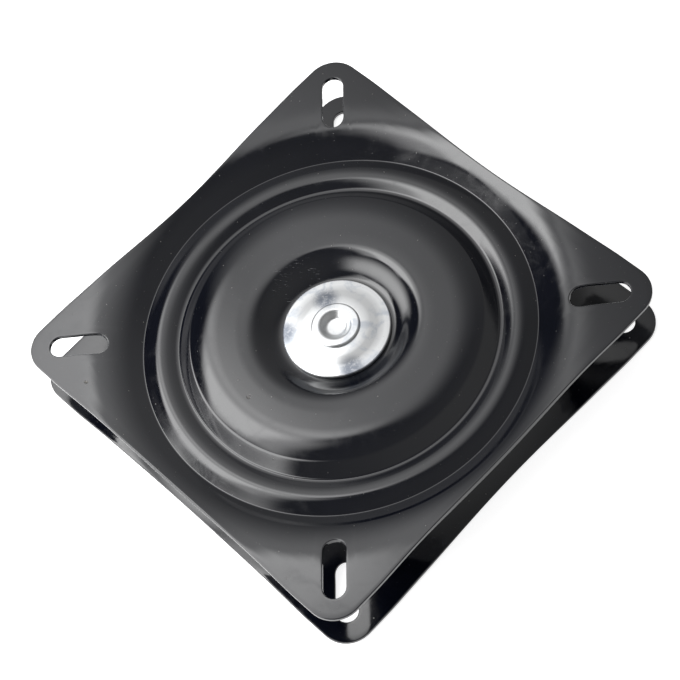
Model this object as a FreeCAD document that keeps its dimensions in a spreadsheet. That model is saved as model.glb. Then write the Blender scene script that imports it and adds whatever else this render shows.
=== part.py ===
import FreeCAD, Part
import math
import os
import Sketcher

from FreeCAD import Placement, Rotation, Vector

# Driving dimensions in millimetres: name, value, meaning.
SIZES = (
    ("plate_size", 203.2, "across the straight ends of two opposite sides"),
    ("plate_corner", 13.3, "radius of the plate's corners"),
    ("draw_in", 1.7, "how far the middle of a side is drawn in"),
    ("draw_margin", 28.0, "straight end of a side, from the sharp corner to the drawn-in arc"),
    ("sheet", 2.0, "thickness of the steel sheet"),
    ("cone_run", 18.4, "from the ridge's outer foot out to where cone and flange would meet"),
    ("shoulder_bend", 25.0, "bend between the flange and the cone"),
    ("race_circle", 80.2, "radius of the circle through the ball centres"),
    ("race_depth", 7.2, "depth of the ridge's crest below the flange"),
    ("race_bend", 15.5, "radius of the ridge over the balls"),
    ("race_half_width", 8.55, "from the ridge's crest to either foot"),
    ("edge_run", 7.3, "from the ridge's inner foot in to where the dome would begin"),
    ("dome_edge_depth", 4.1, "depth of that meeting"),
    ("dome_bend", 12.0, "bend between the dome and its steep edge"),
    ("fold_reach", 38.0, "radius of the fold round the central dish"),
    ("fold_depth", 1.85, "depth of the fold"),
    ("floor_reach", 28.2, "radius at which the dish's cone and floor would meet"),
    ("floor_depth", 9.4, "depth of the dish's floor"),
    ("slot_length", 26.6, "bolt slot, end to end"),
    ("slot_width", 9.9, "bolt slot, across"),
    ("slot_margin", 9.0, "from a slot's outer end to the tip of the corner"),
    ("ball_diameter", 11.1125, "steel ball"),
    ("ball_count", 12.0, "balls in the race"),
    ("ball_clearance", 0.15, "between a ball and either race"),
    ("pocket_clearance", 0.25, "between a ball and its pocket in the cage"),
    ("cage_half_width", 7.4, "from the ball circle to either edge of the cage"),
    ("cage_clearance", 0.4, "between the cage's edges and the plates"),
    ("neck_diameter", 18.0, "spacer neck on which the plates are centred"),
    ("running_clearance", 0.08, "round the neck in a plate's centre hole"),
    ("end_play", 0.12, "between the spacer's shoulder and the upper plate"),
    ("spacer_diameter", 28.0, "body of the spacer between the plates"),
    ("washer_diameter", 48.8, "cupped washer"),
    ("washer_sheet", 2.0, "thickness of the cupped washer"),
    ("washer_rise", 1.5, "height of the washer's crown above its rim"),
    ("washer_crown", 12.9, "radius of the washer's flat crown"),
    ("washer_shoulder", 20.0, "radius at which the crown's slope meets the rim"),
    ("washer_edge", 0.5, "bevel of the washer's upper edge"),
    ("rim_gap", 0.3, "between the upper washer's rim and the turning plate"),
    ("shank_diameter", 13.0, "shank of the rivet"),
    ("shank_clearance", 0.1, "round the shank"),
    ("head_diameter", 22.0, "both heads of the rivet"),
    ("head_height", 1.25, "both heads of the rivet"),
    ("head_bevel", 0.8, "bevel of the heads' edges"),
    ("dimple_diameter", 14.1, "mouth of the dimple in the rolled head"),
    ("dimple_floor_diameter", 10.0, "floor of the dimple"),
    ("dimple_depth", 2.4, "depth of the dimple below the rolled head"),
)

CORNERS = 4
FULL_TURN = 360.0
HALF_TURN = 180.0
TOUCH = 0.001  # lengths under this are taken as nothing

# Places that follow from the sizes, as expressions on the sheet.
TIP_RADIUS = "(sizes.plate_size / sqrt(2) - (sqrt(2) - 1) * sizes.plate_corner)"
SLOT_CIRCLE = f"({TIP_RADIUS} - sizes.slot_margin - sizes.slot_length / 2)"
OUTER_FOOT = "(sizes.race_circle + sizes.race_half_width)"
INNER_FOOT = "(sizes.race_circle - sizes.race_half_width)"
HALF_HEIGHT = "(sizes.race_depth + sizes.sheet + sizes.ball_clearance + sizes.ball_diameter / 2)"
FULL_HEIGHT = f"(2 * {HALF_HEIGHT})"
SEAT = "(sizes.floor_depth + sizes.sheet)"
HOLE_RADIUS = "(sizes.neck_diameter / 2 + sizes.running_clearance)"
BORE_RADIUS = "(sizes.shank_diameter / 2 + sizes.shank_clearance)"
LOWER_CROWN = "(sizes.floor_depth - sizes.washer_rise - sizes.washer_sheet)"
UPPER_CROWN = (
    f"({FULL_HEIGHT} - sizes.floor_depth + sizes.rim_gap + sizes.washer_rise + sizes.washer_sheet)"
)
FOOT_DEPTH = (
    "(sizes.race_depth + sizes.race_bend"
    " - sqrt(sizes.race_bend ^ 2 - sizes.race_half_width ^ 2))"
)


def size_sheet(doc):
    """The sheet of driving dimensions, one row each."""
    sheet = doc.addObject("Spreadsheet::Sheet", "sizes")
    for row, (name, value, meaning) in enumerate(SIZES, start=1):
        sheet.set(f"A{row}", name)
        sheet.set(f"B{row}", str(value))
        sheet.set(f"C{row}", meaning)
        sheet.setAlias(f"B{row}", name)
    doc.recompute()
    return sheet


def bound_constraint(sketch, label, text, kind, *places):
    """A dimension of the sketch that follows an expression on the sheet."""
    value = float(sketch.evalExpression(text))
    index = sketch.addConstraint(Sketcher.Constraint(kind, *places, value))
    sketch.renameConstraint(index, label)
    sketch.setExpression(f".Constraints.{label}", text)


def hold_corner(sketch, line, end, corner):
    """Hold the end of a line at its two distances from the sketch's origin."""
    label, across, along = corner
    if across is not None:
        bound_constraint(sketch, f"{label}_across", across, "DistanceX", -1, 1, line, end)
    if along is not None:
        bound_constraint(sketch, f"{label}_along", along, "DistanceY", -1, 1, line, end)


def corner_point(sketch, corner):
    """Where a corner lies with the present sizes."""
    _, across, along = corner
    return Vector(float(sketch.evalExpression(across)), float(sketch.evalExpression(along)), 0)


def line_chain(sketch, corners, closed):
    """Straight lines from corner to corner, joined end to end. Returns the lines' numbers."""
    spots = [corner_point(sketch, corner) for corner in corners]
    last = len(spots) if closed else len(spots) - 1
    lines = []
    for index in range(last):
        ends = (spots[index], spots[(index + 1) % len(spots)])
        lines.append(sketch.addGeometry(Part.LineSegment(*ends), False))
    for first, second in zip(lines, lines[1:] + lines[:1]):
        if second != lines[0] or closed:
            sketch.addConstraint(Sketcher.Constraint("Coincident", first, 2, second, 1))
    return lines


def hold_chain(sketch, lines, corners, closed):
    """Hold every corner of a chain of lines."""
    for line, corner in zip(lines, corners):
        hold_corner(sketch, line, 1, corner)
    if not closed:
        hold_corner(sketch, lines[-1], 2, corners[-1])


def round_corner(sketch, line, label, text):
    """A bend at the end of a line, which keeps the sharp corner as its reference."""
    arc = sketch.GeometryCount
    sketch.fillet(line, 2, float(sketch.evalExpression(text)), True, True)
    bound_constraint(sketch, label, text, "Radius", arc)


def body_plane(body, role):
    """One of the body's own origin planes or axes."""
    return next(item for item in body.Origin.OriginFeatures if item.Role == role)


def body_sketch(body, name, role):
    """An empty sketch on one of the body's own origin planes."""
    sketch = body.newObject("Sketcher::SketchObject", name)
    sketch.AttachmentSupport = [(body_plane(body, role), "")]
    sketch.MapMode = "FlatFace"
    return sketch


def turned_body(doc, name, corners):
    """A piece turned about its axis, from one closed half section."""
    body = doc.addObject("PartDesign::Body", name)
    section = body_sketch(body, f"{name}_section", "XZ_Plane")
    lines = line_chain(section, corners, True)
    hold_chain(section, lines, corners, True)
    turned = body.newObject("PartDesign::Revolution", f"{name}_turned")
    turned.Profile = section
    turned.ReferenceAxis = (section, ["V_Axis"])
    turned.Angle = FULL_TURN
    body.Tip = turned
    return body


def pattern_round_axis(body, name, feature, count_text):
    """Copies of a feature, evenly spaced round the vertical axis."""
    pattern = body.newObject("PartDesign::PolarPattern", name)
    pattern.Originals = [feature]
    pattern.Axis = (body_plane(body, "Z_Axis"), [""])
    pattern.Angle = FULL_TURN
    pattern.setExpression("Occurrences", count_text)
    body.Tip = pattern
    return pattern


def through_pocket(body, name, sketch):
    """A cut through the whole body, both ways from its sketch."""
    pocket = body.newObject("PartDesign::Pocket", name)
    pocket.Profile = sketch
    pocket.Type = "ThroughAll"
    pocket.Midplane = True
    body.Tip = pocket
    return pocket


def upright_edges(shape, wanted):
    """Names of the upright edges whose foot satisfies the test."""
    names = []
    for number, edge in enumerate(shape.Edges, start=1):
        low, high = edge.Vertexes[0].Point, edge.Vertexes[-1].Point
        upright = math.hypot(high.x - low.x, high.y - low.y) < TOUCH < abs(high.z - low.z)
        if upright and wanted(low):
            names.append(f"Edge{number}")
    return names


def edge_bend(body, name, base, edges, text):
    """Rounding of some edges of the body."""
    bend = body.newObject("PartDesign::Fillet", name)
    bend.Base = (base, edges)
    bend.setExpression("Radius", text)
    body.Tip = bend
    return bend


def stadium_sketch(body, name):
    """The outline of the slot that lies on the X axis."""
    sketch = body_sketch(body, name, "XY_Plane")
    middle = float(sketch.evalExpression(SLOT_CIRCLE))
    radius = float(sketch.evalExpression("sizes.slot_width / 2"))
    reach = float(sketch.evalExpression("(sizes.slot_length - sizes.slot_width) / 2"))
    up = Vector(0, 0, 1)
    near, far = Vector(middle - reach, 0, 0), Vector(middle + reach, 0, 0)
    rise = Vector(0, radius, 0)
    low = sketch.addGeometry(Part.LineSegment(near - rise, far - rise), False)
    outer = sketch.addGeometry(
        Part.ArcOfCircle(Part.Circle(far, up, radius), -math.pi / 2, math.pi / 2), False
    )
    high = sketch.addGeometry(Part.LineSegment(far + rise, near + rise), False)
    inner = sketch.addGeometry(
        Part.ArcOfCircle(Part.Circle(near, up, radius), math.pi / 2, 3 * math.pi / 2), False
    )
    for first, second in ((low, outer), (outer, high), (high, inner), (inner, low)):
        sketch.addConstraint(Sketcher.Constraint("Tangent", first, 2, second, 1))
    sketch.addConstraint(Sketcher.Constraint("PointOnObject", outer, 3, -1))
    sketch.addConstraint(Sketcher.Constraint("PointOnObject", inner, 3, -1))
    bound_constraint(sketch, "end_radius", "sizes.slot_width / 2", "Radius", outer)
    reach_text = "(sizes.slot_length - sizes.slot_width) / 2"
    outer_text = f"{SLOT_CIRCLE} + {reach_text}"
    inner_text = f"{SLOT_CIRCLE} - {reach_text}"
    bound_constraint(sketch, "outer_end", outer_text, "DistanceX", -1, 1, outer, 3)
    bound_constraint(sketch, "inner_end", inner_text, "DistanceX", -1, 1, inner, 3)
    return sketch


def plate_blank(doc, name):
    """The plate's outline and slots as an upright prism, with the corners on the X and Y axes."""
    body = doc.addObject("PartDesign::Body", name)
    square = body_sketch(body, f"{name}_square", "XY_Plane")
    reach = "sizes.plate_size / sqrt(2)"
    corners = (
        ("right", reach, "0"),
        ("top", "0", reach),
        ("left", f"-{reach}", "0"),
        ("bottom", "0", f"-{reach}"),
    )
    lines = line_chain(square, corners, True)
    hold_chain(square, lines, corners, True)
    pad = body.newObject("PartDesign::Pad", f"{name}_pad")
    pad.Profile = square
    pad.Midplane = True
    pad.setExpression("Length", FULL_HEIGHT)

    draw = body_sketch(body, f"{name}_draw", "XY_Plane")
    half_chord = "(sizes.plate_size / 2 - sizes.draw_margin)"
    radius_text = f"(({half_chord} ^ 2 + sizes.draw_in ^ 2) / (2 * sizes.draw_in))"
    place = f"(sizes.plate_size / 2 - sizes.draw_in + {radius_text}) / sqrt(2)"
    centre = float(draw.evalExpression(place))
    radius = float(draw.evalExpression(radius_text))
    ring = draw.addGeometry(Part.Circle(Vector(centre, centre, 0), Vector(0, 0, 1), radius), False)
    bound_constraint(draw, "centre_across", place, "DistanceX", -1, 1, ring, 3)
    bound_constraint(draw, "centre_along", place, "DistanceY", -1, 1, ring, 3)
    bound_constraint(draw, "draw_radius", radius_text, "Radius", ring)
    drawn = through_pocket(body, f"{name}_drawn", draw)
    sides = pattern_round_axis(body, f"{name}_sides", drawn, str(CORNERS))
    doc.recompute()

    on_axis = upright_edges(sides.Shape, lambda foot: min(abs(foot.x), abs(foot.y)) < TOUCH)
    edge_bend(body, f"{name}_corners", sides, on_axis, "sizes.plate_corner")
    doc.recompute()

    slot = through_pocket(body, f"{name}_slot", stadium_sketch(body, f"{name}_stadium"))
    pattern_round_axis(body, f"{name}_slots", slot, str(CORNERS))
    return body


def pressed_section(doc, name):
    """Upper face of the pressing as one open line, from the flange in to the centre hole.

    Depths run down from the flange's face. The ridge over the balls is one arc about the ball
    circle, and its two feet are where the arc meets the cone and the dome's steep edge.
    """
    sketch = doc.addObject("Sketcher::SketchObject", name)
    sketch.Placement = Placement(Vector(0, 0, 0), Rotation(Vector(1, 0, 0), 90))
    outside = (
        ("flange", "sizes.plate_size / sqrt(2)", "0"),
        ("shoulder", f"{OUTER_FOOT} + sizes.cone_run", "0"),
        ("outer_foot", OUTER_FOOT, f"-{FOOT_DEPTH}"),
    )
    inside = (
        ("inner_foot", INNER_FOOT, f"-{FOOT_DEPTH}"),
        ("dome_edge", f"{INNER_FOOT} - sizes.edge_run", "-sizes.dome_edge_depth"),
        ("fold", "sizes.fold_reach", "-sizes.fold_depth"),
        ("floor_edge", "sizes.floor_reach", "-sizes.floor_depth"),
        ("hole", HOLE_RADIUS, "-sizes.floor_depth"),
    )
    outer_lines = line_chain(sketch, outside, False)
    inner_lines = line_chain(sketch, inside, False)
    low_text = "-(sizes.race_depth + sizes.race_bend)"
    centre = corner_point(sketch, ("ridge", "sizes.race_circle", low_text))
    radius = float(sketch.evalExpression("sizes.race_bend"))
    swing = math.asin(float(sketch.evalExpression("sizes.race_half_width")) / radius)
    circle = Part.Circle(centre, Vector(0, 0, 1), radius)
    arc = Part.ArcOfCircle(circle, math.pi / 2 - swing, math.pi / 2 + swing)
    ridge = sketch.addGeometry(arc, False)
    sketch.addConstraint(Sketcher.Constraint("Coincident", outer_lines[-1], 2, ridge, 1))
    sketch.addConstraint(Sketcher.Constraint("Coincident", ridge, 2, inner_lines[0], 1))
    bound_constraint(sketch, "ridge_across", "sizes.race_circle", "DistanceX", -1, 1, ridge, 3)
    bound_constraint(sketch, "ridge_along", low_text, "DistanceY", -1, 1, ridge, 3)
    bound_constraint(sketch, "ridge_radius", "sizes.race_bend", "Radius", ridge)
    held_outside = outside[:-1] + (("outer_foot", OUTER_FOOT, None),)
    held_inside = (("inner_foot", INNER_FOOT, None),) + inside[1:]
    hold_chain(sketch, outer_lines, held_outside, False)
    hold_chain(sketch, inner_lines, held_inside, False)
    round_corner(sketch, outer_lines[0], "shoulder_bend", "sizes.shoulder_bend")
    round_corner(sketch, inner_lines[0], "dome_bend", "sizes.dome_bend")
    return sketch


def pressed_plate(doc, name):
    """One plate: a sheet section turned about the axis, and cut to the blank's outline."""
    section = pressed_section(doc, f"{name}_section")
    doc.recompute()
    wall = doc.addObject("Part::Offset2D", f"{name}_wall")
    wall.Source = section
    wall.Mode = "Skin"
    wall.Join = "Intersection"
    wall.Fill = True
    wall.setExpression("Value", "sizes.sheet")
    dish = doc.addObject("Part::Revolution", f"{name}_dish")
    dish.Source = wall
    dish.Axis = Vector(0, 0, 1)
    dish.Base = Vector(0, 0, 0)
    dish.Angle = FULL_TURN
    dish.Solid = True
    blank = plate_blank(doc, f"{name}_blank")
    plate = doc.addObject("Part::MultiCommon", name)
    plate.Shapes = [dish, blank]
    plate.Label = name
    return plate


def cupped_washer(doc, name):
    """A pressed washer: flat crown under the rivet's head, slope, and a rim. Crown face at zero."""
    drop = "sizes.washer_rise"
    sheet = "sizes.washer_sheet"
    rim = "sizes.washer_diameter / 2"
    corners = (
        ("crown_inner", BORE_RADIUS, f"-{sheet}"),
        ("under_crown", "sizes.washer_crown", f"-{sheet}"),
        ("under_shoulder", "sizes.washer_shoulder", f"-{drop} - {sheet}"),
        ("under_rim", rim, f"-{drop} - {sheet}"),
        ("rim_side", rim, f"-{drop} - sizes.washer_edge"),
        ("rim_top", f"{rim} - sizes.washer_edge", f"-{drop}"),
        ("shoulder", "sizes.washer_shoulder", f"-{drop}"),
        ("crown", "sizes.washer_crown", "0"),
        ("bore", BORE_RADIUS, "0"),
    )
    return turned_body(doc, name, corners)


def spacer(doc, name):
    """The shouldered spacer between the plates. Its lower shoulder, on the plate's floor, is at zero."""
    neck = "sizes.neck_diameter / 2"
    side = "sizes.spacer_diameter / 2"
    shoulder = f"{FULL_HEIGHT} - 2 * {SEAT} - sizes.end_play"
    low = "-(sizes.sheet + sizes.washer_rise)"
    high = f"{UPPER_CROWN} - sizes.washer_sheet - {SEAT}"
    corners = (
        ("bore_low", BORE_RADIUS, low),
        ("neck_low", neck, low),
        ("neck_seat", neck, "0"),
        ("side_low", side, "0"),
        ("side_high", side, shoulder),
        ("neck_shoulder", neck, shoulder),
        ("neck_high", neck, high),
        ("bore_high", BORE_RADIUS, high),
    )
    return turned_body(doc, name, corners)


def rivet(doc, name):
    """The rivet: a plain head below, the shank, and a rolled head with a dimple. Grip from zero up."""
    grip = f"({UPPER_CROWN} - {LOWER_CROWN})"
    shank = "sizes.shank_diameter / 2"
    head = "sizes.head_diameter / 2"
    tall = "sizes.head_height"
    top = f"{grip} + {tall}"
    bevel = "sizes.head_bevel"
    mouth = "sizes.dimple_diameter / 2"
    corners = (
        ("axis_low", "0", f"-{tall}"),
        ("head_face", f"{head} - {bevel}", f"-{tall}"),
        ("head_side", head, f"-({tall} - {bevel})"),
        ("head_seat", head, "0"),
        ("shank_low", shank, "0"),
        ("shank_high", shank, grip),
        ("roll_seat", head, grip),
        ("roll_side", head, f"{top} - {bevel}"),
        ("roll_outer", f"{head} - {bevel}", top),
        ("roll_inner", f"{mouth} + {bevel}", top),
        ("dimple_mouth", mouth, f"{top} - {bevel}"),
        ("dimple_edge", "sizes.dimple_floor_diameter / 2", f"{top} - sizes.dimple_depth"),
        ("axis_high", "0", f"{top} - sizes.dimple_depth"),
    )
    return turned_body(doc, name, corners)


def cage(doc, name):
    """The moulded ring that spaces the balls, with its mid-height at zero."""
    body = doc.addObject("PartDesign::Body", name)
    ring = body_sketch(body, f"{name}_ring", "XY_Plane")
    up = Vector(0, 0, 1)
    for label, sign in (("outer", "+"), ("inner", "-")):
        text = f"sizes.race_circle {sign} sizes.cage_half_width"
        circle = Part.Circle(Vector(0, 0, 0), up, float(ring.evalExpression(text)))
        number = ring.addGeometry(circle, False)
        ring.addConstraint(Sketcher.Constraint("Coincident", number, 3, -1, 1))
        bound_constraint(ring, label, text, "Radius", number)
    pad = body.newObject("PartDesign::Pad", f"{name}_pad")
    pad.Profile = ring
    pad.Midplane = True
    under_edge = "sqrt((sizes.race_bend - sizes.sheet) ^ 2 - sizes.cage_half_width ^ 2)"
    half_gap = f"({HALF_HEIGHT} - sizes.race_depth - sizes.race_bend + {under_edge})"
    pad.setExpression("Length", f"2 * ({half_gap} - sizes.cage_clearance)")

    pocket = body_sketch(body, f"{name}_pocket_ring", "XY_Plane")
    radius_text = "sizes.ball_diameter / 2 + sizes.pocket_clearance"
    centre = Vector(float(pocket.evalExpression("sizes.race_circle")), 0, 0)
    circle = Part.Circle(centre, up, float(pocket.evalExpression(radius_text)))
    hole = pocket.addGeometry(circle, False)
    pocket.addConstraint(Sketcher.Constraint("PointOnObject", hole, 3, -1))
    bound_constraint(pocket, "pitch", "sizes.race_circle", "DistanceX", -1, 1, hole, 3)
    bound_constraint(pocket, "pocket_radius", radius_text, "Radius", hole)
    first = through_pocket(body, f"{name}_pocket", pocket)
    pattern_round_axis(body, f"{name}_pockets", first, "sizes.ball_count")
    return body


def ball_set(doc, name, sheet):
    """The balls of the race as one group of separate solids, with their centres at zero."""
    balls = []
    count = int(sheet.ball_count)
    for index in range(count):
        ball = doc.addObject("Part::Sphere", f"ball_{index + 1:02d}")
        ball.setExpression("Radius", "sizes.ball_diameter / 2")
        turn = FULL_TURN * index / count
        ball.setExpression("Placement.Base.x", f"sizes.race_circle * cos({turn} deg)")
        ball.setExpression("Placement.Base.y", f"sizes.race_circle * sin({turn} deg)")
        balls.append(ball)
    group = doc.addObject("Part::Compound", name)
    group.Links = balls
    return group


def place(piece, height_text, turned_over):
    """Set a piece at its height on the axis, turned over about X or not."""
    turn = HALF_TURN if turned_over else 0
    piece.Placement = Placement(Vector(0, 0, 0), Rotation(Vector(1, 0, 0), turn))
    piece.setExpression("Placement.Base.z", height_text)


def build():
    """The whole bearing, standing on the lower plate's face with the axis upright."""
    doc = FreeCAD.newDocument("swivel_plate")
    sheet = size_sheet(doc)
    pieces = {
        "bottom_plate": (pressed_plate(doc, "bottom_plate"), "0", True),
        "top_plate": (pressed_plate(doc, "top_plate"), FULL_HEIGHT, False),
        "bearing_balls": (ball_set(doc, "bearing_balls", sheet), HALF_HEIGHT, False),
        "ball_cage": (cage(doc, "ball_cage"), HALF_HEIGHT, False),
        "centre_spacer": (spacer(doc, "centre_spacer"), SEAT, False),
        "lower_washer": (cupped_washer(doc, "lower_washer"), LOWER_CROWN, True),
        "upper_washer": (cupped_washer(doc, "upper_washer"), UPPER_CROWN, False),
        "centre_rivet": (rivet(doc, "centre_rivet"), LOWER_CROWN, False),
    }
    for piece, height_text, turned_over in pieces.values():
        place(piece, height_text, turned_over)
    doc.recompute()
    return doc, {name: entry[0] for name, entry in pieces.items()}


def write_parts(doc, pieces):
    """Check every object and write each piece to its own file."""
    for item in doc.Objects:
        if "Invalid" in item.State or "Error" in item.State:
            raise RuntimeError(f"{item.Name} did not build: {item.State}")
    for name, piece in pieces.items():
        piece.Label = name
        if piece.Shape.isNull() or not piece.Shape.isValid():
            raise RuntimeError(f"{name} has no valid shape")
    os.makedirs("parts", exist_ok=True)
    for name, piece in pieces.items():
        piece.Shape.exportStep(f"parts/{name}.step")
        box = piece.Shape.BoundBox
        print(f"{name}: {len(piece.Shape.Solids)} solid(s), volume {piece.Shape.Volume:.1f} mm3,"
              f" z {box.ZMin:.3f} to {box.ZMax:.3f}, across {box.XLength:.2f} x {box.YLength:.2f}")


if __name__ == "__main__":
    write_parts(*build())
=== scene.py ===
# The looks of a square swivel bearing: two pressed black plates, zinc washers and a central rivet.
import math

import bmesh
import bpy
from mathutils import Matrix, Vector


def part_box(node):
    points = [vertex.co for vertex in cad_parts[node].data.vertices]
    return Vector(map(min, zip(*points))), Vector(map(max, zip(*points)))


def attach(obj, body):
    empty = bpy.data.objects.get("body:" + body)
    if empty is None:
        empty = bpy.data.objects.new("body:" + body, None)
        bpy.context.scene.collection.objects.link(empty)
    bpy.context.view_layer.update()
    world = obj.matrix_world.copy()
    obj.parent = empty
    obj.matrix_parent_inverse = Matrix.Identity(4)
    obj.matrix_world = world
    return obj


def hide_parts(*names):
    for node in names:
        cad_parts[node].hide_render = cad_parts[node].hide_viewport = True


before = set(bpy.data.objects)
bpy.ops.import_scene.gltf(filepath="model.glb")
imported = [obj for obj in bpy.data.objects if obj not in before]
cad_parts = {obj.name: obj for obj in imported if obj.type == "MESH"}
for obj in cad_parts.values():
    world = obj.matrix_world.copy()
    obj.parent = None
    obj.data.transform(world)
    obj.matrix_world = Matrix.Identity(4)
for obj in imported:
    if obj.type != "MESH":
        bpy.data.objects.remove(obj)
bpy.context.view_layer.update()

MM = 0.001
UP = Vector((0, 0, 1))

# The square outline of the plates, whose sides are drawn in between the corners.
PLATE_SIDE = 203.2 * MM
CORNER_RADIUS = 13.3 * MM
DRAW_IN = 1.7 * MM
DRAW_MARGIN = 28.0 * MM
DRAW_BLEND = 0.25 * MM
SHEET = 2.0 * MM
EDGE_ROUNDING = 0.4 * MM

# The cone that rises to the flat flange, and the bend between them.
CONE_SLOPE = 0.70
CONE_MEETING = 102.7 * MM
SHOULDER_BEND = 35.0 * MM
FLANGE_START = 92.0 * MM

# Slope of the pressed middle at each radius in millimetres, from the bore outwards. It is above nought
# where the sheet rises outwards, and changes evenly from each radius to the next.
SEAT_SLOPES = ((9.08, 0.0), (23.6, 0.0), (24.8, 0.05))
DISH_SLOPES = (
    (27.0, 0.43), (29.0, 0.72), (31.0, 0.79), (33.0, 0.76), (35.5, 0.59), (37.5, 0.31), (39.5, 0.12),
    (42.0, 0.04),
)
DISC_SLOPES = ((45.0, 0.0), (52.0, 0.0), (55.0, -0.063), (58.0, -0.184), (61.0, -0.292), (63.2, -0.39))
VALLEY_SLOPES = ((65.2, -0.42), (66.4, -0.95), (71.2, -0.94), (72.2, -0.035))
RIDGE_SLOPES = (
    (74.0, 0.56), (77.0, 0.388), (80.2, 0.038), (83.4, -0.377), (86.4, -0.457), (88.2, -0.355),
)
CONE_SLOPES = ((89.0, CONE_SLOPE), (92.0, CONE_SLOPE))
SECTION_SLOPES = SEAT_SLOPES + DISH_SLOPES + DISC_SLOPES + VALLEY_SLOPES + RIDGE_SLOPES + CONE_SLOPES

# The bolt slots near the corners.
SLOT_LENGTH = 26.6 * MM
SLOT_WIDTH = 9.9 * MM
SLOT_MARGIN = 9.0 * MM

# The plates' mesh: longest step and greatest change of slope along the section, spokes round the axis,
# and rows of the flange as shares of the way to the outline.
SECTION_STEP = 1.3 * MM
SLOPE_STEP = 0.16
SPOKES = 480
FLANGE_ROWS = (
    0.025, 0.05, 0.075, 0.10, 0.125, 0.15, 0.185, 0.215, 0.245, 0.275, 0.305, 0.335, 0.37, 0.405, 0.44,
    0.47, 0.53, 0.60, 0.70, 0.87, 0.935, 1.0,
)
# The rows that bound a slot's opening, and the spokes to each side of its middle.
SLOT_FIRST_ROW = 6
SLOT_LAST_ROW = 19
SLOT_SPOKES = 6
SLOT_END_STEPS = 12
# Edges of the sheet that turn by more than this many radians are cut edges.
CUT_EDGE_ANGLE = 1.0

# The cupped washers. Heights run from the crown's face.
BORE_RADIUS = 6.6 * MM
WASHER_RADIUS = 24.4 * MM
WASHER_SHEET = 2.0 * MM
WASHER_RISE = 1.5 * MM
WASHER_CROWN = 12.9 * MM
WASHER_SHOULDER = 20.0 * MM
WASHER_BEND = 26.0 * MM
CROWN_UNDERSIDE_BEND = 5.0 * MM
SHOULDER_UNDERSIDE_BEND = 4.0 * MM
RIM_DROOP = 0.35 * MM
RIM_LOWER_ROUNDING = 0.35 * MM
RIM_UPPER_ROUNDING = 0.8 * MM

# The rivet. Heights run from the face that its lower head bears on.
SHANK_RADIUS = 6.5 * MM
HEAD_RADIUS = 11.0 * MM
HEAD_HEIGHT = 1.25 * MM
LOWER_HEAD_ROUNDING = 0.9 * MM
UPPER_HEAD_ROUNDING = 1.05 * MM
DIMPLE_RADIUS = 7.05 * MM
DIMPLE_FLOOR = 4.6 * MM
DIMPLE_DEPTH = 2.4 * MM
DIMPLE_LIP = 2.2 * MM
DIMPLE_ROOT = 2.4 * MM
ROUND_SPOKES = 180

# Marks of wear, and places of painted shade on the zinc, by the points that they lie round.
SCUFF_PLACE = (-18 * MM, 24 * MM, 22 * MM)
PIT_PLACES = ((-37.4 * MM, -33.2 * MM, 28.3 * MM), (-111.2 * MM, -19.2 * MM, 29.8 * MM))
# Places of the dark zinc patches, which are painted shade standing for darker surroundings reflected in the
# metal.
ZINC_SHADE_PLACES = ((-23 * MM, 0 * MM, 23 * MM), (6.5 * MM, -21 * MM, 23 * MM), (-4.5 * MM, 14 * MM, 24 * MM))

# Colours of the finishes.
BLACK_PAINT = (0.0018, 0.0026, 0.0060)
CLOUDED_PAINT = (0.0034, 0.0042, 0.0085)
DUST = (0.30, 0.29, 0.26)
SCRATCHED_PAINT = (0.30, 0.30, 0.31)
PITTED_PAINT = (0.20, 0.18, 0.15)
BRIGHT_ZINC = (0.79, 0.80, 0.805)
GREY_ZINC = (0.60, 0.63, 0.67)
# The dark zinc of the painted shade patches.
SHADED_ZINC = (0.24, 0.26, 0.30)
SPOTTED_ZINC = (0.30, 0.31, 0.33)
NATURAL_NYLON = (0.72, 0.70, 0.63)
BROWN_GREASE = (0.44, 0.36, 0.22)
PAINT_IOR = 1.78

# Lamps: name, place, the way it faces, its long direction, width, height, radiance, soft edge.
PANELS = (
    (
        "high_left_panel", (-0.571, 0.064, 0.782), (-0.065, -0.055, -0.996), (-0.703, 0.711, 0.007),
        0.71, 0.48, 2.30, 0.088,
    ),
    (
        "upper_panel", (-0.096, 0.235, 0.558), (-0.363, -0.911, -0.198), (0.931, -0.347, -0.111),
        0.33, 0.74, 1.36, 0.26,
    ),
    (
        "low_left_panel", (-0.974, -0.187, 0.337), (0.243, -0.133, -0.961), (-0.615, 0.745, -0.259),
        1.48, 0.73, 4.10, 0.146,
    ),
    (
        "high_near_panel", (-0.409, 0.045, 0.55), (0.029, -0.741, -0.671), (0.528, -0.558, 0.64),
        0.33, 0.66, 2.53, 0.054,
    ),
)

# The room's own light: its level, its lean by direction and its least, and then the floor.
ROOM_LEVEL = 0.20
ROOM_LEAN = (0.145, -0.065, -0.07)
ROOM_LEAST = 0.04
FLOOR_SIZE = 6.0
FLOOR_COLOUR = (0.92, 0.92, 0.92)
FLOOR_LIFT = 0.8

# The camera, placed in metres. Its roll is in degrees.
CAMERA_LENS = 104.364
CAMERA_PLACE = (0.14437, -0.41624, 0.76862)
CAMERA_AIM = (0.00296, -0.01041, 0.02981)
CAMERA_ROLL = -22.268

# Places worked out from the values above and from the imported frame.
PLATE_TIP = PLATE_SIDE / math.sqrt(2) - (math.sqrt(2) - 1) * CORNER_RADIUS
SLOT_MIDDLE = PLATE_TIP - SLOT_MARGIN - SLOT_LENGTH / 2
CONE_ANGLE = math.atan(CONE_SLOPE)
SHOULDER_TANGENT = SHOULDER_BEND * math.tan(CONE_ANGLE / 2)
SHOULDER_REACH = CONE_MEETING + SHOULDER_TANGENT
CONE_TOP = CONE_MEETING - SHOULDER_TANGENT * math.cos(CONE_ANGLE)
PLATE_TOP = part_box("top_plate")[1][2]
UPPER_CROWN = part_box("upper_washer")[1][2]
LOWER_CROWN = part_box("lower_washer")[0][2]


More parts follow.
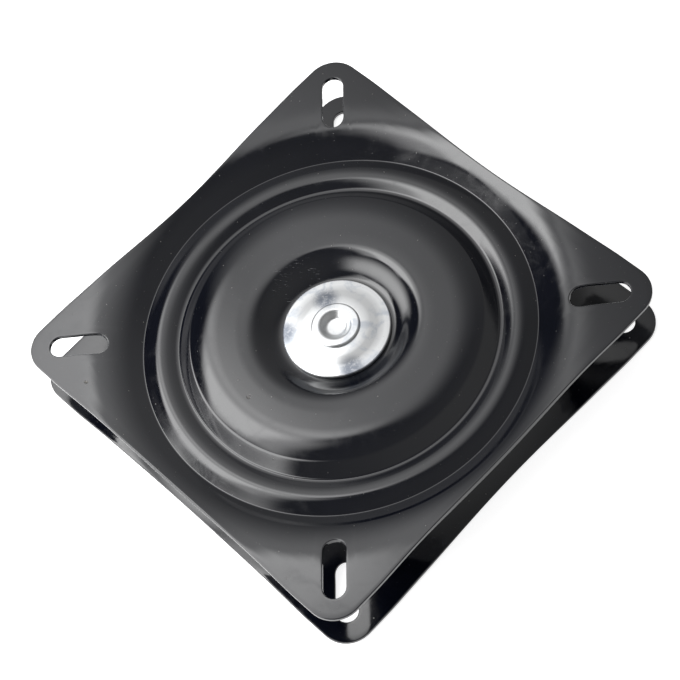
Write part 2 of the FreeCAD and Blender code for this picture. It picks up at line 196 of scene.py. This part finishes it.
def finish_mesh(name, bm, node, body, material):
    """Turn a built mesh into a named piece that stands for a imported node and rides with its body."""
    mesh = bpy.data.meshes.new(name)
    bm.to_mesh(mesh)
    bm.free()
    mesh.shade_smooth()
    piece = bpy.data.objects.new(name, mesh)
    bpy.context.scene.collection.objects.link(piece)
    piece.data.materials.append(material)
    weighting = piece.modifiers.new("smooth_shading", "WEIGHTED_NORMAL")
    weighting.keep_sharp = True
    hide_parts(node)
    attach(piece, body)


def chain(bm, points):
    """Join points (radius, height) into one open line in the XZ plane."""
    verts = [bm.verts.new((radius, 0, height)) for radius, height in points]
    for first, second in zip(verts, verts[1:]):
        bm.edges.new((first, second))
    return verts


def round_corner(bm, vert, radius, steps):
    """Round one corner of a line with a bend of the given radius."""
    ends = [edge.other_vert(vert).co - vert.co for edge in vert.link_edges]
    turn = math.pi - ends[0].angle(ends[1])
    offset = radius * math.tan(turn / 2)
    bmesh.ops.bevel(
        bm, geom=[vert], offset=offset, affect="VERTICES", segments=steps, profile=0.5, material=-1
    )


def turn_section(bm, spokes):
    """Sweep the section that a mesh holds once round the Z axis."""
    bmesh.ops.spin(
        bm, geom=bm.verts[:] + bm.edges[:], cent=(0, 0, 0), axis=UP, angle=2 * math.pi, steps=spokes,
        use_merge=True
    )
    bmesh.ops.remove_doubles(bm, verts=bm.verts, dist=0.01 * MM)
    bmesh.ops.recalc_face_normals(bm, faces=bm.faces)


def turn_over(bm):
    """Turn a mesh upside down about the X axis."""
    bmesh.ops.rotate(bm, verts=bm.verts, cent=(0, 0, 0), matrix=Matrix.Rotation(math.pi, 3, "X"))


def soft_least(first, second, blend):
    """The lesser of two lengths, with the step between them eased over about the given blend."""
    gap = max(blend - abs(first - second), 0) / blend
    return min(first, second) - gap * gap * blend / 4


def plate_reach(bearing):
    """Distance from the axis to the plate's outline along a bearing, with a corner at bearing 0."""
    eighth = math.pi / 4
    across = abs((bearing + eighth) % (2 * eighth) - eighth)
    half_side = PLATE_SIDE / 2
    tip_centre = (half_side - CORNER_RADIUS) * math.sqrt(2)
    corner_end = math.atan2(CORNER_RADIUS * math.sin(eighth), tip_centre + CORNER_RADIUS * math.cos(eighth))
    if across < corner_end:
        return tip_centre * math.cos(across) + math.sqrt(
            CORNER_RADIUS ** 2 - (tip_centre * math.sin(across)) ** 2
        )
    half_chord = half_side - DRAW_MARGIN
    draw_radius = (half_chord ** 2 + DRAW_IN ** 2) / (2 * DRAW_IN)
    from_middle = eighth - across
    straight = half_side / math.cos(from_middle)
    centre = half_side - DRAW_IN + draw_radius
    drawn = centre * math.cos(from_middle) - math.sqrt(
        draw_radius ** 2 - (centre * math.sin(from_middle)) ** 2
    )
    return soft_least(straight, drawn, DRAW_BLEND)


def shoulder_height(reach):
    """Height of the plate's upper face on the cone and outwards, below the flange's face."""
    run = SHOULDER_REACH - reach
    if run <= 0:
        return 0.0
    if reach < CONE_TOP:
        return (reach - CONE_MEETING) * CONE_SLOPE
    return math.sqrt(SHOULDER_BEND ** 2 - run ** 2) - SHOULDER_BEND


def section_points():
    """Points (radius, height) of the pressed middle, each a step further in and down its slope."""
    points = [(FLANGE_START, shoulder_height(FLANGE_START))]
    for outer, inner in zip(SECTION_SLOPES[::-1], SECTION_SLOPES[-2::-1]):
        length = (outer[0] - inner[0]) * MM
        turn = abs(outer[1] - inner[1])
        steps = max(1, round(length / SECTION_STEP), math.ceil(turn / SLOPE_STEP)) if turn else 1
        for step in range(1, steps + 1):
            share = step / steps
            slope = outer[1] + (share - 0.5 / steps) * (inner[1] - outer[1])
            radius, height = points[-1]
            points.append((radius - length / steps, height - slope * length / steps))
    return points


def flange(bm):
    """Draw the cone's edge out in rows, over the shoulder, to the square outline."""
    rim = [edge for edge in bm.edges if edge.is_boundary and edge.verts[0].co.xy.length > FLANGE_START / 2]
    for share in FLANGE_ROWS:
        grown = bmesh.ops.extrude_edge_only(bm, edges=rim)["geom"]
        rim = [item for item in grown if isinstance(item, bmesh.types.BMEdge)]
        rim = [edge for edge in rim if edge.is_boundary]
        for vert in {vert for edge in rim for vert in edge.verts}:
            bearing = math.atan2(vert.co.y, vert.co.x)
            reach = FLANGE_START + share * (plate_reach(bearing) - FLANGE_START)
            vert.co = Vector((reach * math.cos(bearing), reach * math.sin(bearing), shoulder_height(reach)))


def slot_end(bm, start, middle):
    """Draw a slot's round end from a vertex, half a turn about its middle, and return the last vertex."""
    drawn = bmesh.ops.spin(
        bm, geom=[start], cent=(middle, 0, 0), axis=UP, angle=math.pi, steps=SLOT_END_STEPS
    )["geom_last"]
    return next(item for item in drawn if isinstance(item, bmesh.types.BMVert))


def slot_outline(bm, bearing):
    """Draw a closed slot with its long axis along a bearing, and return its edges."""
    half_straight = (SLOT_LENGTH - SLOT_WIDTH) / 2
    near_middle = SLOT_MIDDLE - half_straight
    far_middle = SLOT_MIDDLE + half_straight
    before = set(bm.edges)
    start = bm.verts.new((far_middle, -SLOT_WIDTH / 2, 0))
    far_end = slot_end(bm, start, far_middle)
    corner = bm.verts.new((near_middle, SLOT_WIDTH / 2, 0))
    first_side = bm.edges.new((far_end, corner))
    near_end = slot_end(bm, corner, near_middle)
    second_side = bm.edges.new((near_end, start))
    cuts = SLOT_LAST_ROW - SLOT_FIRST_ROW - 1
    bmesh.ops.subdivide_edges(bm, edges=[first_side, second_side], cuts=cuts)
    edges = [edge for edge in bm.edges if edge not in before]
    verts = list({vert for edge in edges for vert in edge.verts})
    bmesh.ops.rotate(bm, verts=verts, cent=(0, 0, 0), matrix=Matrix.Rotation(bearing, 3, "Z"))
    return edges


def cut_slot(bm, bearing):
    """Open a bolt slot at one corner and fit the flange's mesh neatly round it."""
    half_block = SLOT_SPOKES * 2 * math.pi / SPOKES
    block = []
    for face in bm.faces:
        middle = face.calc_center_median()
        off = (math.atan2(middle.y, middle.x) - bearing + math.pi) % (2 * math.pi) - math.pi
        if abs(off) > half_block:
            continue
        share = (middle.xy.length - FLANGE_START) / (plate_reach(off) - FLANGE_START)
        if FLANGE_ROWS[SLOT_FIRST_ROW] < share < FLANGE_ROWS[SLOT_LAST_ROW]:
            block.append(face)
    border = [edge for face in block for edge in face.edges]
    border = [edge for edge in set(border) if sum(face in block for face in edge.link_faces) == 1]
    bmesh.ops.delete(bm, geom=block, context="FACES")
    border = [edge for edge in border if edge.is_valid]
    opening = slot_outline(bm, bearing)
    bridge = bmesh.ops.bridge_loops(bm, edges=border + opening)
    across = [edge for edge in bridge["edges"] if edge not in border and edge not in opening]
    cut = bmesh.ops.subdivide_edges(bm, edges=across, cuts=2, use_grid_fill=True)["geom_inner"]
    touched = [item for item in cut if isinstance(item, bmesh.types.BMVert)]
    touched += [vert for edge in opening if edge.is_valid for vert in edge.verts]
    for vert in touched:
        vert.co.z = shoulder_height(vert.co.xy.length)


def pressed_plate(name, node, body, upside_down, material):
    """One pressed plate, its sheet given its thickness below the shaped face and its cut edges eased."""
    bm = bmesh.new()
    chain(bm, section_points())
    turn_section(bm, SPOKES)
    flange(bm)
    for corner in range(4):
        cut_slot(bm, corner * math.pi / 2)
    bmesh.ops.recalc_face_normals(bm, faces=bm.faces)
    if sum(face.normal.z for face in bm.faces) < 0:
        bmesh.ops.reverse_faces(bm, faces=bm.faces)
    bmesh.ops.solidify(bm, geom=bm.faces[:], thickness=SHEET)
    cut_edges = [edge for edge in bm.edges if edge.is_manifold and edge.calc_face_angle() > CUT_EDGE_ANGLE]
    bmesh.ops.bevel(
        bm, geom=cut_edges, offset=EDGE_ROUNDING, affect="EDGES", segments=3, profile=0.5, material=-1
    )
    if upside_down:
        turn_over(bm)
    else:
        bmesh.ops.translate(bm, verts=bm.verts, vec=(0, 0, PLATE_TOP))
    finish_mesh(name, bm, node, body, material)


def turned_piece(name, node, corners, hollow, upside_down, height, material):
    """A round piece turned about the axis, from corners of (radius, height, bend radius, bend steps)."""
    bm = bmesh.new()
    verts = chain(bm, [corner[:2] for corner in corners])
    if hollow:
        bm.edges.new((verts[-1], verts[0]))
    for vert, (_, _, bend, steps) in zip(verts, corners):
        if bend:
            round_corner(bm, vert, bend, steps)
    turn_section(bm, ROUND_SPOKES)
    if upside_down:
        turn_over(bm)
    bmesh.ops.translate(bm, verts=bm.verts, vec=(0, 0, height))
    finish_mesh(name, bm, node, "base", material)


def cupped_washer(name, node, upside_down, height, material):
    """A pressed washer with a flat crown, a slope and a rolled rim. Its crown's face is at the height."""
    corners = (
        (BORE_RADIUS, 0, 0, 0),
        (BORE_RADIUS, -WASHER_SHEET, 0, 0),
        (WASHER_CROWN, -WASHER_SHEET, CROWN_UNDERSIDE_BEND, 4),
        (WASHER_SHOULDER, -WASHER_RISE - WASHER_SHEET, SHOULDER_UNDERSIDE_BEND, 4),
        (WASHER_RADIUS, -WASHER_RISE - WASHER_SHEET, RIM_LOWER_ROUNDING, 3),
        (WASHER_RADIUS, -WASHER_RISE - RIM_DROOP, RIM_UPPER_ROUNDING, 6),
        (WASHER_SHOULDER, -WASHER_RISE, WASHER_BEND, 10),
        (WASHER_CROWN, 0, WASHER_BEND, 10),
    )
    turned_piece(name, node, corners, True, upside_down, height, material)


def rolled_rivet(material):
    """The centre rivet: a low domed head below, the shank, and a rolled head with a soft dimple above."""
    grip = UPPER_CROWN - LOWER_CROWN
    top = grip + HEAD_HEIGHT
    corners = (
        (0, -HEAD_HEIGHT, 0, 0),
        (HEAD_RADIUS, -HEAD_HEIGHT, LOWER_HEAD_ROUNDING, 6),
        (HEAD_RADIUS, 0, 0, 0),
        (SHANK_RADIUS, 0, 0, 0),
        (SHANK_RADIUS, grip, 0, 0),
        (HEAD_RADIUS, grip, 0, 0),
        (HEAD_RADIUS, top, UPPER_HEAD_ROUNDING, 8),
        (DIMPLE_RADIUS, top, DIMPLE_LIP, 8),
        (DIMPLE_FLOOR, top - DIMPLE_DEPTH, DIMPLE_ROOT, 6),
        (0, top - DIMPLE_DEPTH, 0, 0),
    )
    turned_piece("rolled_centre_rivet", "centre_rivet", corners, False, False, LOWER_CROWN, material)


def new_material(name):
    """A material with its main shader and its node tree."""
    material = bpy.data.materials.new(name)
    material.use_nodes = True
    tree = material.node_tree
    return material, tree.nodes["Principled BSDF"], tree


def add_node(tree, kind, values=(), **settings):
    """A node with some of its settings and its input values set."""
    node = tree.nodes.new(kind)
    for key, value in settings.items():
        setattr(node, key, value)
    for key, value in values:
        node.inputs[key].default_value = value
    return node


def object_place(tree):
    """The surface point in the piece's own coordinates, in metres."""
    return add_node(tree, "ShaderNodeTexCoord").outputs["Object"]


def noise(tree, place, scale, detail=2.0, roughness=0.5, distortion=0.0):
    """A cloudy pattern with so many waves to the metre."""
    values = (("Scale", scale), ("Detail", detail), ("Roughness", roughness), ("Distortion", distortion))
    node = add_node(tree, "ShaderNodeTexNoise", values)
    tree.links.new(place, node.inputs["Vector"])
    return node.outputs["Fac"]


def ramp(tree, source, low, high, bottom=0.0, top=1.0):
    """Rescale a value softly, from the range low to high to the range bottom to top."""
    values = (("From Min", low), ("From Max", high), ("To Min", bottom), ("To Max", top))
    node = add_node(tree, "ShaderNodeMapRange", values, interpolation_type="SMOOTHSTEP")
    tree.links.new(source, node.inputs["Value"])
    return node.outputs["Result"]


def mixed_colour(tree, share, first, second):
    """A colour between two, by a share. Either may be a fixed colour or another node's output."""
    node = add_node(tree, "ShaderNodeMix", data_type="RGBA")
    first_input, second_input, colour_output = 6, 7, 2
    tree.links.new(share, node.inputs["Factor"])
    for key, colour in ((first_input, first), (second_input, second)):
        if isinstance(colour, tuple):
            node.inputs[key].default_value = (*colour, 1)
        else:
            tree.links.new(colour, node.inputs[key])
    return node.outputs[colour_output]


def maths(tree, operation, first, second):
    """Arithmetic on two values, either of which may be a plain number."""
    node = add_node(tree, "ShaderNodeMath", operation=operation)
    for key, value in ((0, first), (1, second)):
        if isinstance(value, float):
            node.inputs[key].default_value = value
        else:
            tree.links.new(value, node.inputs[key])
    return node.outputs[0]


def bumped(tree, layers):
    """A chain of bumps, each a height pattern with its depth in metres."""
    normal = None
    for height, depth in layers:
        node = add_node(tree, "ShaderNodeBump", (("Strength", 1.0), ("Distance", depth)))
        tree.links.new(height, node.inputs["Height"])
        if normal is not None:
            tree.links.new(normal, node.inputs["Normal"])
        normal = node.outputs["Normal"]
    return normal


def specks(tree, place, scale, size, rarity):
    """Small round spots in random places: only the rarer cells have one."""
    node = add_node(tree, "ShaderNodeTexVoronoi", (("Scale", scale),))
    tree.links.new(place, node.inputs["Vector"])
    full_size = size * 0.4
    spot = ramp(tree, node.outputs["Distance"], size, full_size)
    chosen = add_node(tree, "ShaderNodeSeparateColor")
    tree.links.new(node.outputs["Color"], chosen.inputs["Color"])
    return maths(tree, "MULTIPLY", spot, maths(tree, "GREATER_THAN", chosen.outputs["Red"], rarity))


def near_point(tree, place, point, inner, outer):
    """One near a point, and nothing beyond the outer distance."""
    node = add_node(tree, "ShaderNodeVectorMath", operation="DISTANCE")
    tree.links.new(place, node.inputs[0])
    node.inputs[1].default_value = point
    return ramp(tree, node.outputs["Value"], outer, inner)


def stretched(tree, place, scale, turn):
    """The place squeezed and turned, so that patterns come out as fine streaks."""
    node = add_node(tree, "ShaderNodeMapping")
    node.inputs["Rotation"].default_value = (0, 0, turn)
    node.inputs["Scale"].default_value = scale
    tree.links.new(place, node.inputs["Vector"])
    return node.outputs["Vector"]


def black_paint():
    """Glossy black stoved paint: faint orange peel, clouding, dust, and scuffs beside the washer."""
    material, paint, tree = new_material("black_gloss_paint")
    place = object_place(tree)
    clouds = noise(tree, place, scale=22.0, detail=4.0, roughness=0.6, distortion=0.6)
    smears = noise(tree, place, scale=70.0, detail=5.0, roughness=0.65, distortion=1.2)
    fine_marks = noise(tree, place, scale=900.0, detail=3.0)
    dust = specks(tree, place, scale=260.0, size=0.10, rarity=0.80)
    fine_dust = specks(tree, place, scale=700.0, size=0.16, rarity=0.86)
    scuffed = near_point(tree, place, SCUFF_PLACE, inner=7 * MM, outer=19 * MM)
    pits = [near_point(tree, place, pit, inner=0.3 * MM, outer=1.4 * MM) for pit in PIT_PLACES]
    pitted = maths(tree, "MULTIPLY", maths(tree, "ADD", *pits), ramp(tree, fine_marks, 0.35, 0.6))
    drawn_out = stretched(tree, place, scale=(160.0, 2600.0, 1.0), turn=0.9)
    streaks = noise(tree, drawn_out, scale=1.0, detail=3.0, roughness=0.7)
    scratches = maths(tree, "MULTIPLY", ramp(tree, streaks, 0.62, 0.72), scuffed)
    spotted = maths(tree, "MAXIMUM", dust, maths(tree, "MULTIPLY", fine_dust, 0.5))
    colour = mixed_colour(tree, ramp(tree, clouds, 0.35, 0.7), BLACK_PAINT, CLOUDED_PAINT)
    for mark, cover, mark_colour in (
        (spotted, 0.35, DUST), (scratches, 0.7, SCRATCHED_PAINT), (pitted, 0.5, PITTED_PAINT),
    ):
        colour = mixed_colour(tree, maths(tree, "MULTIPLY", mark, cover), colour, mark_colour)
    tree.links.new(colour, paint.inputs["Base Color"])
    rough = ramp(tree, smears, 0.42, 0.75, bottom=0.09, top=0.20)
    for mark, added in ((spotted, 0.3), (scuffed, 0.07), (scratches, 0.3), (pitted, 0.4)):
        rough = maths(tree, "ADD", rough, maths(tree, "MULTIPLY", mark, added))
    tree.links.new(rough, paint.inputs["Roughness"])
    paint.inputs["IOR"].default_value = PAINT_IOR
    waves = noise(tree, place, scale=28.0, detail=1.0)
    peel = noise(tree, place, scale=330.0)
    grain = noise(tree, place, scale=1500.0)
    layers = (
        (waves, 60e-6), (peel, 2.2e-6), (grain, 0.7e-6), (scratches, -14e-6), (spotted, 20e-6),
        (pitted, -120e-6),
    )
    tree.links.new(bumped(tree, layers), paint.inputs["Normal"])
    return material


def zinc_plate():
    """Bright zinc plate, mottled blue-grey and nearly white, with fine handling marks and dark patches of
    painted shade.
    """
    material, metal, tree = new_material("mottled_zinc")
    place = object_place(tree)
    mottle = noise(tree, place, scale=105.0, detail=3.0, distortion=0.8)
    fine = noise(tree, place, scale=650.0, detail=4.0, roughness=0.6, distortion=0.8)
    ripple = maths(tree, "MULTIPLY", maths(tree, "SUBTRACT", fine, 0.5), 0.22)
    patches = maths(tree, "ADD", mottle, ripple)
    colour = mixed_colour(tree, ramp(tree, patches, 0.46, 0.66), BRIGHT_ZINC, GREY_ZINC)
    # Painted shade: dark patches round three places, standing for darker surroundings reflected in the
    # washers.
    zinc_shade_spots = [near_point(tree, place, spot, inner=2 * MM, outer=8 * MM) for spot in ZINC_SHADE_PLACES]
    painted_zinc_shade = maths(tree, "ADD", maths(tree, "ADD", *zinc_shade_spots[:2]), zinc_shade_spots[2])
    painted_zinc_shade = maths(tree, "MULTIPLY", painted_zinc_shade, ramp(tree, fine, 0.30, 0.55, bottom=0.55))
    colour = mixed_colour(tree, painted_zinc_shade, colour, SHADED_ZINC)
    spots = specks(tree, place, scale=900.0, size=0.14, rarity=0.8)
    colour = mixed_colour(tree, spots, colour, SPOTTED_ZINC)
    tree.links.new(colour, metal.inputs["Base Color"])
    metal.inputs["Metallic"].default_value = 1.0
    tree.links.new(ramp(tree, patches, 0.42, 0.66, bottom=0.28, top=0.40), metal.inputs["Roughness"])
    drawn_out = stretched(tree, place, scale=(300.0, 2400.0, 1.0), turn=0.4)
    marks = noise(tree, drawn_out, scale=1.0, detail=3.0, roughness=0.7)
    tree.links.new(bumped(tree, ((fine, 6e-6), (marks, 3e-6))), metal.inputs["Normal"])
    return material


def steel(name, dull, bright, smooth, rough, across):
    """Plain steel with fine marks, squeezed across the height for turned pieces."""
    material, metal, tree = new_material(name)
    squeezed = stretched(tree, object_place(tree), scale=(60.0, 60.0, across), turn=0.0)
    marks = noise(tree, squeezed, scale=1.0, detail=4.0, roughness=0.65)
    tree.links.new(mixed_colour(tree, ramp(tree, marks, 0.3, 0.7), dull, bright), metal.inputs["Base Color"])
    metal.inputs["Metallic"].default_value = 1.0
    tree.links.new(ramp(tree, marks, 0.3, 0.7, bottom=smooth, top=rough), metal.inputs["Roughness"])
    tree.links.new(bumped(tree, ((marks, 3e-6),)), metal.inputs["Normal"])
    return material


def greased_nylon():
    """Natural moulded nylon with a smear of grease."""
    material, resin, tree = new_material("greased_nylon")
    place = object_place(tree)
    grease = noise(tree, place, scale=60.0, detail=4.0, roughness=0.6, distortion=1.0)
    colour = mixed_colour(tree, ramp(tree, grease, 0.45, 0.7), NATURAL_NYLON, BROWN_GREASE)
    tree.links.new(colour, resin.inputs["Base Color"])
    tree.links.new(ramp(tree, grease, 0.4, 0.7, bottom=0.45, top=0.2), resin.inputs["Roughness"])
    texture = noise(tree, place, scale=900.0, detail=3.0)
    tree.links.new(bumped(tree, ((texture, 8e-6),)), resin.inputs["Normal"])
    return material


def dress(node_name, material):
    """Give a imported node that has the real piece's shape its material."""
    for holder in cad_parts[node_name].material_slots:
        holder.material = material


def soft_panel(name, place, facing, across, width, height, radiance, edge):
    """A rectangular lamp whose light fades out over its edges, set square to a direction."""
    data = bpy.data.lights.new(name, "AREA")
    data.shape = "RECTANGLE"
    data.size = width + 2 * edge
    data.size_y = height + 2 * edge
    data.energy = radiance * math.pi * data.size * data.size_y
    data.use_nodes = True
    tree = data.node_tree
    spot = add_node(tree, "ShaderNodeNewGeometry").outputs["Parametric"]
    sides = add_node(tree, "ShaderNodeSeparateXYZ")
    tree.links.new(spot, sides.inputs["Vector"])
    shares = []
    for axis, length in (("X", data.size), ("Y", data.size_y)):
        off = maths(tree, "ABSOLUTE", maths(tree, "SUBTRACT", sides.outputs[axis], 0.5), 0.0)
        shares.append(ramp(tree, off, 0.5, 0.5 - 2 * edge / length))
    strength = maths(tree, "MULTIPLY", *shares)
    tree.links.new(strength, tree.nodes["Emission"].inputs["Strength"])
    lamp = bpy.data.objects.new(name, data)
    bpy.context.scene.collection.objects.link(lamp)
    back = -Vector(facing).normalized()
    along = (Vector(across) - Vector(across).dot(back) * back).normalized()
    turn = Matrix((along, back.cross(along), back)).transposed()
    lamp.matrix_world = Matrix.Translation(place) @ turn.to_4x4()


def room_light():
    """The room round the lamps, a little brighter low down and to one side, and white to the camera."""
    world = bpy.data.worlds.new("studio_room")
    bpy.context.scene.world = world
    world.use_nodes = True
    tree = world.node_tree
    lean = add_node(tree, "ShaderNodeVectorMath", operation="DOT_PRODUCT")
    tree.links.new(add_node(tree, "ShaderNodeTexCoord").outputs["Generated"], lean.inputs[0])
    lean.inputs[1].default_value = ROOM_LEAN
    level = maths(tree, "MAXIMUM", maths(tree, "ADD", lean.outputs["Value"], ROOM_LEVEL), ROOM_LEAST)
    seen = add_node(tree, "ShaderNodeLightPath").outputs["Is Camera Ray"]
    level = maths(tree, "MAXIMUM", level, seen)
    background = tree.nodes["Background"]
    background.inputs["Color"].default_value = (1, 1, 1, 1)
    tree.links.new(level, background.inputs["Strength"])


def studio_floor():
    """A pale floor that reads as white round the object and keeps its shadow."""
    bpy.ops.mesh.primitive_plane_add(size=FLOOR_SIZE)
    floor = bpy.context.object
    floor.name = "studio_floor"
    material, surface, tree = new_material("studio_white")
    surface.inputs["Base Color"].default_value = (*FLOOR_COLOUR, 1)
    surface.inputs["Roughness"].default_value = 0.9
    surface.inputs["Specular IOR Level"].default_value = 0.0
    surface.inputs["Emission Color"].default_value = (1, 1, 1, 1)
    ray = add_node(tree, "ShaderNodeLightPath")
    seen = maths(tree, "MAXIMUM", ray.outputs["Is Camera Ray"], ray.outputs["Is Glossy Ray"])
    seen = maths(tree, "MAXIMUM", seen, ray.outputs["Is Transmission Ray"])
    tree.links.new(maths(tree, "MULTIPLY", seen, FLOOR_LIFT), surface.inputs["Emission Strength"])
    floor.data.materials.append(material)


def camera_view():
    """The camera, at the photograph's angle."""
    data = bpy.data.cameras.new("camera")
    camera = bpy.data.objects.new("camera", data)
    bpy.context.scene.collection.objects.link(camera)
    data.lens = CAMERA_LENS
    camera.location = CAMERA_PLACE
    level = (Vector(CAMERA_AIM) - Vector(CAMERA_PLACE)).to_track_quat("-Z", "Y").to_matrix()
    camera.rotation_euler = (level @ Matrix.Rotation(math.radians(CAMERA_ROLL), 3, "Z")).to_euler()
    bpy.context.scene.camera = camera


paint = black_paint()
zinc = zinc_plate()
pressed_plate("swivel_top_plate", "top_plate", "turntable", False, paint)
pressed_plate("swivel_base_plate", "bottom_plate", "base", True, paint)
cupped_washer("upper_cupped_washer", "upper_washer", False, UPPER_CROWN, zinc)
cupped_washer("lower_cupped_washer", "lower_washer", True, LOWER_CROWN, zinc)
rolled_rivet(zinc)
dress("bearing_balls", steel("polished_steel", (0.68, 0.68, 0.69), (0.80, 0.80, 0.80), 0.06, 0.14, 60.0))
dress("centre_spacer", steel("turned_steel", (0.38, 0.38, 0.39), (0.55, 0.55, 0.56), 0.25, 0.4, 2500.0))
dress("ball_cage", greased_nylon())

studio_floor()
for panel in PANELS:
    soft_panel(*panel)
room_light()
camera_view()
bpy.context.scene.view_settings.view_transform = "Standard"
